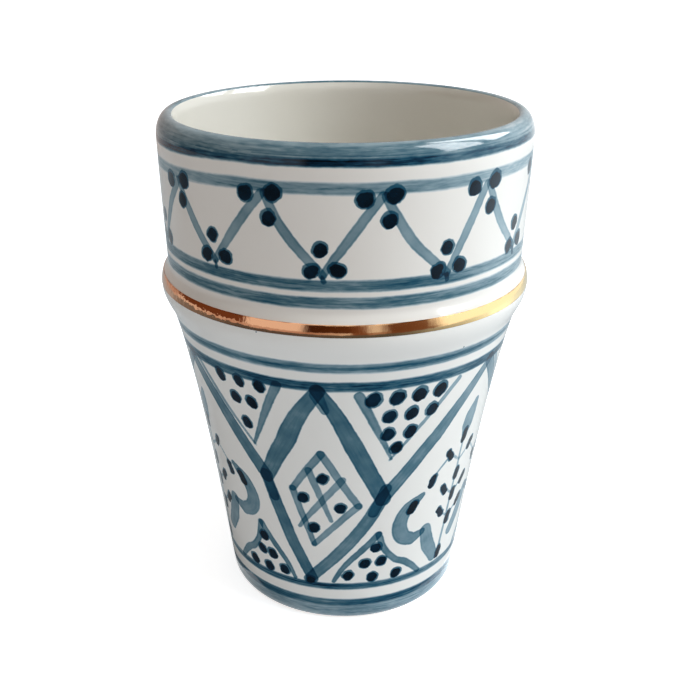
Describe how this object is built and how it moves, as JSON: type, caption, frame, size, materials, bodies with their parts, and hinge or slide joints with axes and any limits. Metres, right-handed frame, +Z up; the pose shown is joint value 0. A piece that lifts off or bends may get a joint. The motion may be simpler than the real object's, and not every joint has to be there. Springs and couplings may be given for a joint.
{
  "type": "ceramic tea tumbler",
  "caption": "Handleless glazed ceramic tea tumbler with a thick round lip, a beaded collar with a gold ring, painted bands and zigzags, and a low unglazed foot ring.",
  "frame": {"origin": "middle of the foot ring's underside, on the table", "axes": "+Z up along the cup's axis, -Y towards the viewer of the picture, +X to the right"},
  "size_m": [0.08, 0.08, 0.1102],
  "materials": {
    "earthenware": "unglazed fired clay, matte",
    "white_glaze": "glossy white tin glaze",
    "blue_wash": "brushed blue-grey colour fired into the glaze",
    "dark_blue": "dark blue line fired into the glaze",
    "gold_lustre": "polished gold lustre on the glaze"
  },
  "bodies": {
    "root": {"clay_body": "earthenware", "outer_glaze": "white_glaze", "inner_glaze": "white_glaze", "base_glaze": "white_glaze", "lip_wash": "blue_wash", "rim_line": "dark_blue", "frieze_top_band": "blue_wash", "frieze_zigzag": "blue_wash", "frieze_base_band_upper": "blue_wash", "frieze_base_band_lower": "blue_wash", "gold_ring": "gold_lustre", "shoulder_band_upper": "blue_wash", "shoulder_band_lower": "blue_wash", "lozenge_zigzag": "blue_wash", "lozenge_point_1": "blue_wash", "lozenge_point_2": "blue_wash", "lozenge_point_3": "blue_wash", "foot_line": "dark_blue", "foot_band": "blue_wash"}
  },
  "joints": []
}
